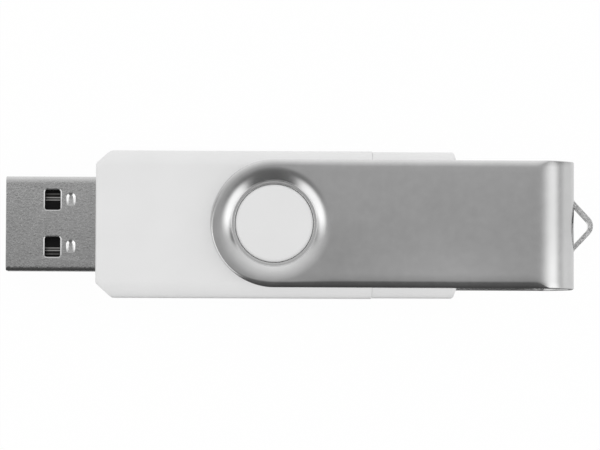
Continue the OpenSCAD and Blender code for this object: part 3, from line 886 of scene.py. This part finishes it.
# --------------------------------------------------------------------------
# shader helpers
# --------------------------------------------------------------------------
class Graph:
    """Short ways to add nodes to a node tree. Inputs take a socket or a value;
    an underscore in an input's keyword stands for a space."""

    def __init__(self, tree):
        self.tree = tree
        self.nodes = tree.nodes

    def feed(self, socket, value):
        if isinstance(value, bpy.types.NodeSocket):
            self.tree.links.new(value, socket)
        else:
            socket.default_value = value

    def fill(self, node, **inputs):
        for name, value in inputs.items():
            self.feed(node.inputs[name.replace("_", " ")], value)

    def new(self, kind, **inputs):
        node = self.nodes.new("ShaderNode" + kind)
        self.fill(node, **inputs)
        return node

    def math(self, operation, *values):
        node = self.new("Math")
        node.operation = operation
        for socket, value in zip(node.inputs, values):
            self.feed(socket, value)
        return node.outputs[0]

    def add(self, first, second):
        return self.math("ADD", first, second)

    def sub(self, first, second):
        return self.math("SUBTRACT", first, second)

    def mul(self, first, second):
        return self.math("MULTIPLY", first, second)

    def div(self, first, second):
        return self.math("DIVIDE", first, second)

    def span(self, value, low, high, start=0.3, end=0.7):
        """Map start..end to low..high."""
        return self.new("MapRange", From_Min=start, From_Max=end, To_Min=low,
                        To_Max=high, Value=value).outputs["Result"]

    def ramp(self, value, stops):
        """Colour ramp from (position, colour) stops."""
        node = self.new("ValToRGB")
        elements = node.color_ramp.elements
        for element, (position, color) in ((elements[0], stops[0]),
                                           (elements[1], stops[-1])):
            element.position = position
            element.color = (*color, 1)
        for position, color in stops[1:-1]:
            elements.new(position).color = (*color, 1)
        self.feed(node.inputs["Fac"], value)
        return node.outputs["Color"]

    def color(self, *channels):
        node = self.new("CombineColor")
        for socket, value in zip(node.inputs, channels):
            self.feed(socket, value)
        return node.outputs[0]

    def grey(self, value):
        return self.color(value, value, value)

    def split(self, vector):
        node = self.new("SeparateXYZ")
        self.feed(node.inputs[0], vector)
        return node.outputs

    def mix(self, fraction, first, second):
        node = self.new("MixShader")
        for socket, value in zip(node.inputs, (fraction, first, second)):
            self.feed(socket, value)
        return node.outputs[0]


class Material(Graph):
    """Node graph of a new material, with object space in millimetres."""

    def __init__(self, name):
        self.material = bpy.data.materials.new(name)
        self.material.use_nodes = True
        super().__init__(self.material.node_tree)
        self.bsdf = self.nodes["Principled BSDF"]
        place = self.new("TexCoord").outputs["Object"]
        self.place = self.new("Mapping", Scale=(1000, 1000, 1000),
                              Vector=place).outputs["Vector"]

    def noise(self, scale, detail=2.0, rough=0.5, place=None, distortion=0.0):
        return self.new("TexNoise", Scale=scale, Detail=detail, Roughness=rough,
                        Distortion=distortion, Vector=place or self.place).outputs["Fac"]

    def stretch(self, x, y, z, turn=0.0):
        """Scaled place, turned about Z in degrees."""
        return self.new("Mapping", Scale=(x, y, z), Rotation=(0, 0, radians(turn)),
                        Vector=self.place).outputs["Vector"]

    def bump(self, height, depth, strength=1.0, under=None):
        """Bump of `depth` millimetres, on top of the normal `under`."""
        node = self.new("Bump", Distance=depth * MM, Strength=strength, Height=height)
        if under is not None:
            self.feed(node.inputs["Normal"], under)
        return node.outputs["Normal"]

    def shade(self, **inputs):
        self.fill(self.bsdf, **inputs)
        return self.material

    def surface(self, shader):
        self.feed(self.nodes["Material Output"].inputs["Surface"], shader)


# --------------------------------------------------------------------------
# materials
# --------------------------------------------------------------------------
def white_plastic():
    m = Material("white_abs")
    blot = m.noise(scale=0.16, detail=3)
    fine = m.noise(scale=14, rough=0.6)
    mid = m.noise(scale=2.2)
    color = m.ramp(blot, [(0.3, (0.800, 0.800, 0.800)), (0.7, (0.822, 0.822, 0.822))])
    rough = m.add(m.span(mid, low=0.36, high=0.43), m.span(fine, low=-0.03, high=0.03))
    normal = m.bump(fine, depth=0.0012, strength=0.7)
    normal = m.bump(mid, depth=0.004, strength=0.4, under=normal)
    return m.shade(Base_Color=color, Roughness=rough, Normal=normal, IOR=1.5,
                   Specular_IOR_Level=0.30)


# patches of painted sheen and painted shade on the plate: (x, y, spread in x, spread in y,
# brightening)
PLATE_SHEEN_AND_SHADE_PATCHES = [(PIVOT_X + 21.2, -6.6, 6.0, 2.4, 0.105),
               (PIVOT_X + 8.1, -3.6, 1.9, 2.4, -0.042),
               (WALL_X - 2.4, -6.4, 1.6, 3.2, 0.095)]


def cover_steel():
    m = Material("satin_cover_steel")
    broad = m.noise(scale=0.11, detail=3, rough=0.55)
    blot = m.noise(scale=0.7, detail=3, rough=0.6)
    grain = m.noise(scale=26, detail=3, rough=0.7)
    lines = m.noise(scale=1.0, detail=3, rough=0.6, place=m.stretch(x=0.9, y=22, z=22))
    value = m.add(m.span(broad, low=-0.022, high=0.022),
                  m.span(blot, low=-0.018, high=0.018))
    value = m.add(value, m.span(grain, low=-0.05, high=0.05))
    # painted sheen: the pressed dish round the pivot is coloured a little brighter than the
    # plate, which brightens its reflections
    x, y, _ = m.split(m.place)
    from_pivot = m.sub(x, PIVOT_X)
    radius = m.math("SQRT", m.add(m.mul(from_pivot, from_pivot), m.mul(y, y)))
    dish = m.span(radius, low=0.13, high=0.0, start=6.0, end=7.5)
    # painted light: brighter towards +Y, the side the light comes from
    value = m.add(value, m.mul(y, 0.0022))
    # painted sheen and shade: soft patches brighten, and in one place darken, the plate's colour
    for patch_x, patch_y, spread_x, spread_y, brightening in PLATE_SHEEN_AND_SHADE_PATCHES:
        off_x = m.div(m.sub(x, patch_x), spread_x)
        off_y = m.div(m.sub(y, patch_y), spread_y)
        square = m.add(m.mul(off_x, off_x), m.mul(off_y, off_y))
        bell = m.math("EXPONENT", m.mul(square, -0.5))
        value = m.add(value, m.mul(brightening, bell))
    base_grey = 0.61
    color = m.grey(m.add(m.add(value, dish), base_grey))
    rough = m.add(m.span(blot, low=0.205, high=0.245), m.span(grain, low=-0.03, high=0.03))
    normal = m.bump(grain, depth=0.0012, strength=0.6)
    normal = m.bump(lines, depth=0.0012, strength=0.4, under=normal)
    normal = m.bump(broad, depth=0.030, strength=0.5, under=normal)
    m.shade(Base_Color=color, Metallic=1.0, Roughness=rough, Normal=normal)
    # most of the soft light gets past the sheet's edge onto the body, as it
    # does under a wide studio tent
    diffuse_ray = m.new("LightPath").outputs["Is Diffuse Ray"]
    clear = m.new("BsdfTransparent").outputs[0]
    passing = m.mul(diffuse_ray, m.span(radius, low=0.15, high=0.97, start=5.9, end=7.0))
    m.surface(m.mix(passing, m.bsdf.outputs[0], clear))
    return m.material


def plug_steel():
    m = Material("grained_plug_steel")
    pebble = m.noise(scale=1.0, detail=3, rough=0.70, distortion=0.7,
                     place=m.stretch(x=2.6, y=4.3, z=3.2, turn=-26))
    fine = m.noise(scale=9, detail=3, rough=0.7)
    broad = m.noise(scale=0.22)
    value = m.add(m.span(pebble, low=-0.03, high=0.03),
                  m.span(fine, low=-0.025, high=0.025))
    value = m.add(value, m.span(broad, low=-0.012, high=0.012))
    # painted light: slightly brighter towards +Y, the side the light comes from
    value = m.add(value, m.mul(m.split(m.place)[1], 0.009))
    base_color = (0.520, 0.520, 0.519)
    color = m.color(*[m.add(value, channel) for channel in base_color])
    rough = m.add(m.span(pebble, low=0.20, high=0.28), m.span(fine, low=-0.03, high=0.03))
    # the pebbling is strong on the wide faces and faint on the sides
    level = m.math("ABSOLUTE", m.split(m.new("NewGeometry").outputs["Normal"])[2])
    normal = m.bump(pebble, depth=0.068,
                    strength=m.span(level, low=0.08, high=1.0, start=0.75, end=0.985))
    normal = m.bump(fine, depth=0.007, under=normal)
    return m.shade(Base_Color=color, Metallic=1.0, Roughness=rough, Normal=normal)


def burnished_rim_and_highlight_steel(name, low, high):
    """Smooth, bright pressed steel: a painted highlight on the dimples' flanks, and the drawn-in
    rims of the windows, burnished by the press.
    """
    m = Material(name)
    grain = m.noise(scale=5)
    color = m.color(*[m.span(grain, low, high) for _ in range(3)])
    return m.shade(Base_Color=color, Metallic=1.0,
                   Roughness=m.span(grain, low=0.15, high=0.20),
                   Normal=m.bump(grain, depth=0.004, strength=0.5))


# painted highlights along the contacts: (distance from y = 0, half width, brightness)
CONTACT_HIGHLIGHTS = [(3.07, 0.10, 0.9), (3.38, 0.11, 1.0), (3.84, 0.08, 0.4)]


def contact_painted_shade_and_highlights():
    """Contacts deep in the plug: painted dark for the shade they lie in, with painted highlight
    lines along them.
    """
    m = Material("plug_contact_painted_light")
    y = m.math("ABSOLUTE", m.split(m.place)[1])
    streak = m.noise(scale=1.0, detail=3, rough=0.6, place=m.stretch(x=0.5, y=9, z=9))
    highlights = None
    for centre, half_width, brightness in CONTACT_HIGHLIGHTS:
        distance = m.math("ABSOLUTE", m.sub(y, centre))
        inside = m.math("MAXIMUM", m.sub(1.0, m.div(distance, half_width)), 0.0)
        highlight = m.mul(inside, brightness)
        highlights = highlight if highlights is None else m.math("MAXIMUM", highlights, highlight)
    # painted highlight lines over a colour kept dark as painted shade
    value = m.add(m.mul(highlights, 0.75), m.span(streak, low=0.015, high=0.05))
    warm_red, warm_blue = 1.01, 0.98            # tint relative to green
    color = m.color(m.mul(value, warm_red), value, m.mul(value, warm_blue))
    return m.shade(Base_Color=color, Roughness=0.3, Metallic=1.0)


def sheared_steel():
    """Cut faces of the pressed-out strip: torn, streaky grain."""
    m = Material("sheared_steel")
    streak = m.noise(scale=1.0, detail=4, rough=0.75, distortion=1.5,
                     place=m.stretch(x=7, y=3.0, z=1.0))
    fine = m.noise(scale=9, detail=3, rough=0.7)
    value = m.add(m.span(streak, low=0.40, high=1.30, start=0.38, end=0.60),
                  m.span(fine, low=-0.18, high=0.18))
    color = m.grey(m.math("MINIMUM", value, 1.0))
    normal = m.bump(streak, depth=0.22)
    normal = m.bump(fine, depth=0.03, under=normal)
    return m.shade(Base_Color=color, Metallic=1.0, Roughness=0.3, Normal=normal)


def plain_material(name, color, vary, rough, metal=0.0, scale=3.0, fine=20.0,
                   bump=0.002, specular=0.5):
    """One colour, varied by the share `vary` in blots, with a fine bump."""
    m = Material(name)
    blot = m.noise(scale=scale, detail=3, rough=0.55)
    grain = m.noise(scale=fine, rough=0.6)
    darker = tuple(max(0.0, c * (1 - vary)) for c in color)
    lighter = tuple(min(1.0, c * (1 + vary)) for c in color)
    blotted = m.ramp(blot, [(0.3, darker), (0.7, lighter)])
    roughness = m.add(m.span(blot, low=rough - 0.04, high=rough + 0.04),
                      m.span(grain, low=-0.03, high=0.03))
    return m.shade(Base_Color=blotted, Roughness=roughness, Metallic=metal,
                   Normal=m.bump(grain, depth=bump, strength=0.6),
                   Specular_IOR_Level=specular)


def board_material():
    """Green solder mask over a brick-like pattern of tracks."""
    m = Material("solder_mask_board")
    tracks = m.new("TexBrick", Scale=0.55, Mortar_Size=0.035,
                   Color1=(0.012, 0.105, 0.045, 1), Color2=(0.016, 0.120, 0.052, 1),
                   Mortar=(0.030, 0.200, 0.085, 1), Vector=m.place)
    grain = m.noise(scale=6)
    normal = m.bump(tracks.outputs["Fac"], depth=0.02, strength=0.6)
    normal = m.bump(grain, depth=0.003, strength=0.5, under=normal)
    return m.shade(Base_Color=tracks.outputs["Color"],
                   Roughness=m.span(grain, low=0.22, high=0.34),
                   Normal=normal, Coat_Weight=0.3)


MATERIALS = {
    "white": white_plastic(),
    "cover": cover_steel(),
    "plug": plug_steel(),
    # contacts: painted shade with painted highlights
    "contact": contact_painted_shade_and_highlights(),
    "sheared": sheared_steel(),
    # painted highlight for the dimples' flanks
    "pressed": burnished_rim_and_highlight_steel("dimple_painted_highlight", low=0.84, high=0.94),
    "rim": burnished_rim_and_highlight_steel("drawn_rim_steel", low=0.56, high=0.68),
    "black": plain_material("black_insulator", (0.011, 0.011, 0.012), vary=0.25,
                            rough=0.45, bump=0.003, specular=0.3),
    "gold": plain_material("gold_plate", (0.90, 0.66, 0.28), vary=0.05, rough=0.22,
                           metal=1.0, scale=4, fine=30, bump=0.001),
    "spring": plain_material("spring_steel", (0.60, 0.60, 0.61), vary=0.05, rough=0.25,
                             metal=1.0, fine=30, bump=0.001),
    "board": board_material(),
    "chip": plain_material("moulded_epoxy", (0.026, 0.026, 0.028), vary=0.2, rough=0.5,
                           scale=5, fine=22, bump=0.006),
    "tin": plain_material("tinned_lead", (0.72, 0.72, 0.74), vary=0.06, rough=0.3,
                          metal=1.0, scale=6, fine=30),
    "can": plain_material("crystal_lid", (0.74, 0.74, 0.73), vary=0.04, rough=0.28,
                          metal=1.0, fine=30, bump=0.001),
    "tan": plain_material("capacitor_ceramic", (0.46, 0.31, 0.18), vary=0.12, rough=0.5,
                          scale=4, bump=0.003),
    "solder": plain_material("solder_fillet", (0.68, 0.68, 0.70), vary=0.08, rough=0.34,
                             metal=1.0, scale=5, fine=25, bump=0.004),
}


# --------------------------------------------------------------------------
# build
# --------------------------------------------------------------------------
def dress(ob, *names):
    ob.data.materials.clear()
    for name in names:
        ob.data.materials.append(MATERIALS[name])


def register(ob, part, node):
    """Parent ob to the part's body empty and hide the CAD piece it stands for."""
    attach(ob, part)
    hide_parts(node)


def paint_cover(ob):
    """Sheared steel (slot 1) on the cut faces of the strip and its slot."""
    for poly in ob.data.polygons:
        centre = poly.center / MM
        if (centre.x > WALL_X - SHEET / 2 and abs(poly.normal.z) > 0.9
                and abs(centre.z) < WALL_Z + 0.1):
            poly.material_index = 1


def paint_plug(ob):
    """Pressed steel with a painted highlight (slot 1) in the dimples, rim steel (slot 2) round
    the windows.
    """
    for poly in ob.data.polygons:
        centre, normal = poly.center / MM, poly.normal
        if (abs(abs(centre.y) - WINDOW_Y) > 1.7 or centre.x < 4.0
                or centre.z < PLUG_Z - 0.27):
            continue
        if centre.x > 7.3:
            # the shallow end of a dimple faces +Y and keeps the plug's grain, without the
            # painted highlight
            shallow_end = normal.y > 0.05 + 0.7 * abs(normal.x)
            # painted highlight: the dimple's other tilted faces get the bright steel
            if abs(normal.z) < 0.985 and not shallow_end:
                poly.material_index = 1
        elif abs(normal.z) < 0.96:
            poly.material_index = 2


cover_ob = build_cover()
dress(cover_ob, "cover", "sheared")
paint_cover(cover_ob)
register(cover_ob, "cover", "swivel_cover")

for shell_name, shell_node, shell_side in (("upper_moulding", "upper_shell", 1),
                                           ("lower_moulding", "lower_shell", -1)):
    shell_ob = build_shell(shell_name, shell_side)
    dress(shell_ob, "white")
    register(shell_ob, "body", shell_node)

cap_ob = build_cap()
dress(cap_ob, "white")
register(cap_ob, "cap", "rear_cap")

plug_ob = build_plug()
dress(plug_ob, "plug", "pressed", "rim")
paint_plug(plug_ob)
register(plug_ob, "body", "usb_a_shell")

# CAD pieces kept as they are: (material, bevel width)
CAD_LOOKS = {
    "usb_a_insulator": ("black", 0.05), "usb_a_power_contacts": ("contact", 0.02),
    "usb_a_data_contacts": ("contact", 0.02), "micro_usb_shell": ("plug", 0.04),
    "micro_usb_insulator": ("black", 0.03), "micro_usb_contacts": ("gold", 0.02),
    "micro_usb_latches": ("spring", 0.03), "circuit_board": ("board", 0.03),
    "flash_memory_chip": ("chip", 0.05), "flash_memory_leads": ("tin", 0.0),
    "controller_chip": ("chip", 0.05), "controller_leads": ("tin", 0.0),
    "crystal_oscillator": ("can", 0.06), "ceramic_capacitors": ("tan", 0.04),
    "chip_resistors": ("chip", 0.03), "voltage_regulator": ("chip", 0.04),
    "regulator_leads": ("tin", 0.0), "solder_joints": ("solder", 0.03),
}
for cad_name, (look, bevel_width) in CAD_LOOKS.items():
    cad_ob = frame["nodes"][cad_name]
    if not cad_ob.material_slots:
        cad_ob.data.materials.append(MATERIALS[look])
    for material_slot in cad_ob.material_slots:
        material_slot.material = MATERIALS[look]
    if bevel_width:
        add_bevel(cad_ob, bevel_width, angle=40)


# --------------------------------------------------------------------------
# stage: pale floor, soft studio light, camera
# --------------------------------------------------------------------------
scene = bpy.context.scene
scene.view_settings.view_transform = "Standard"
scene.view_settings.look = "None"
scene.view_settings.exposure = 0.0
scene.view_settings.gamma = 1.0


def floor_material():
    """Pale and matt; the camera sees it almost as pure white."""
    material = bpy.data.materials.new("pale_floor")
    material.use_nodes = True
    g = Graph(material.node_tree)
    bsdf = g.nodes["Principled BSDF"]
    mottle = g.new("TexNoise", Scale=40.0).outputs["Fac"]
    color = g.grey(g.span(mottle, low=0.94, high=0.96, start=0.0, end=1.0))
    g.fill(bsdf, Roughness=0.9, Base_Color=color)
    camera_ray = g.new("LightPath").outputs["Is Camera Ray"]
    glow = g.new("Emission", Color=(1, 1, 1, 1), Strength=1.0).outputs[0]
    glow_share = 0.97
    mixed = g.mix(g.mul(camera_ray, glow_share), bsdf.outputs[0], glow)
    g.fill(g.nodes["Material Output"], Surface=mixed)
    return material


def build_floor():
    material = floor_material()
    half = 6.0                                  # metres
    mesh = bpy.data.meshes.new("floor")
    mesh.from_pydata([(-half, -half, 0), (half, -half, 0), (half, half, 0),
                      (-half, half, 0)], [], [(0, 1, 2, 3)])
    floor = bpy.data.objects.new("floor", mesh)
    floor.location = (0, 0, (-COVER_Z - 0.02) * MM)
    scene.collection.objects.link(floor)
    mesh.materials.append(material)
    floor.visible_glossy = False


class WorldGraph(Graph):
    def curve(self, value, low, high, stops):
        """Piecewise-linear (place, result) stops over low..high."""
        top = max(result for _, result in stops)
        share = self.div(self.sub(value, low), high - low)
        color = self.ramp(share, [((place - low) / (high - low), (result / top,) * 3)
                                  for place, result in stops])
        return self.mul(color, top)

    def step(self, value, start, end):
        """Smooth rise from 0 at start to 1 at end."""
        node = self.new("MapRange", From_Min=start, From_Max=end, Value=value)
        node.interpolation_type = "SMOOTHSTEP"
        return node.outputs["Result"]

    def without(self, value, mask):
        """The value where the mask is 0, nothing where it is 1."""
        return self.mul(value, self.sub(1.0, mask))

    def background(self, color):
        return self.new("Background", Color=color, Strength=1.0).outputs[0]


# brightness in reflections against the direction's y: dark at -Y, light at +Y
SKY_BY_Y = [(-1, 0.10), (-0.85, 0.105), (-0.6, 0.11), (-0.44, 0.118), (-0.284, 0.165),
            (-0.2, 0.235), (-0.083, 0.36), (0.0, 0.452), (0.056, 0.482), (0.245, 0.57),
            (0.41, 0.63), (0.71, 0.75), (0.91, 0.86), (1, 0.95)]
# brightness near and below the horizon against the azimuth
HORIZON = [(-90, 0.07), (-60, 0.12), (-35, 0.80), (-10, 0.92), (30, 0.96), (90, 1.08)]


def reflected_studio(w, x, y, z):
    """What the metal reflects. Angles are in degrees: the zenith angle, and the
    azimuth from -90 at -Y to 90 at +Y, mirrored in X."""
    to_degrees = 180 / pi
    clamped = w.math("MAXIMUM", w.math("MINIMUM", z, 1.0), -1.0)
    zenith = w.mul(w.math("ARCCOSINE", clamped), to_degrees)
    azimuth = w.mul(w.math("ARCTAN2", y, w.math("ABSOLUTE", x)), to_degrees)
    sky = w.curve(y, -1, 1, SKY_BY_Y)
    low = w.step(zenith, start=72, end=104)
    horizon = w.curve(azimuth, -90, 90, HORIZON)
    base = w.add(w.without(sky, low), w.mul(horizon, low))

    # a dark flag at each side, a little to +Y of the boxes, weaker at -X
    flag_wide = w.without(w.step(azimuth, start=6, end=14),
                          w.step(azimuth, start=24, end=36))
    flag_high = w.without(w.step(zenith, start=60, end=72),
                          w.step(zenith, start=98, end=114))
    flag = w.mul(flag_wide, flag_high)
    left = w.math("LESS_THAN", x, 0.0)          # 1 on the -X side
    flag_strength, flag_weaker = 0.80, 0.45
    flag = w.mul(flag, w.sub(flag_strength, w.mul(left, flag_weaker)))
    base = w.without(base, flag)

    # two soft boxes, at -X and +X, turned a little towards -Y; the -X one more
    left_turn = 6.0
    turned = w.add(azimuth, w.mul(left, left_turn))
    # part of the +X box starts nearer the zenith and brightens more slowly
    lift = w.without(w.step(azimuth, start=-28, end=-6), left)
    foot, foot_lift = 24.0, 6.0
    rise_width, rise_wider = 22.0, 14.0
    foot_at = w.sub(foot, w.mul(lift, foot_lift))
    rise = w.div(w.sub(zenith, foot_at), w.add(rise_width, w.mul(lift, rise_wider)))
    # the far limit, drawn in towards +Y
    limit, limit_drawn, fall_width = 72.0, 11.0, 22.0
    limit_at = w.sub(limit, w.mul(w.step(azimuth, start=-14, end=4), limit_drawn))
    fall = w.div(w.sub(zenith, limit_at), fall_width)
    box_high = w.without(w.step(rise, 0, 1), w.step(fall, 0, 1))
    box_wide = w.without(w.step(turned, start=-59, end=-42),
                         w.step(azimuth, start=-6, end=24))
    box_strength = 1.12
    return w.add(base, w.mul(w.mul(box_high, box_wide), box_strength))


def build_world():
    world = bpy.data.worlds.new("studio")
    scene.world = world
    world.use_nodes = True
    w = WorldGraph(world.node_tree)
    w.nodes.clear()
    x, y, z = w.split(w.new("TexCoord").outputs["Generated"])
    reflected = w.background(w.grey(reflected_studio(w, x, y, z)))
    # diffuse light: even, a little weaker from -Y
    weaker = 0.24
    soft = w.background(w.grey(w.add(1.0, w.mul(w.math("MINIMUM", y, 0.0), weaker))))
    seen = w.background((1, 1, 1, 1))
    rays = w.new("LightPath").outputs
    lighting = w.mix(rays["Is Glossy Ray"], soft, reflected)
    w.new("OutputWorld", Surface=w.mix(rays["Is Camera Ray"], lighting, seen))


def build_camera():
    """Almost straight above, leaning a little towards -Y."""
    distance = 520.0
    tilt, roll = radians(2.7), radians(0.26)
    camera = bpy.data.cameras.new("camera")
    camera.sensor_width = 36.0
    camera.lens = 243.984
    camera.clip_start, camera.clip_end = 0.01, 20.0
    ob = bpy.data.objects.new("camera", camera)
    scene.collection.objects.link(ob)
    back = Vector((0, -sin(tilt), cos(tilt)))
    right = Vector((1, 0, 0))
    up = back.cross(right)
    target = Vector((FRONT_X + 25.95908, 0.0, 0.0)) + up * 0.02
    rotation = Matrix((right, up, back)).transposed() @ Matrix.Rotation(roll, 3, "Z")
    ob.rotation_mode = "QUATERNION"
    ob.rotation_quaternion = rotation.to_quaternion()
    ob.location = (target + back * distance) * MM
    scene.camera = ob


build_floor()
build_world()
build_camera()
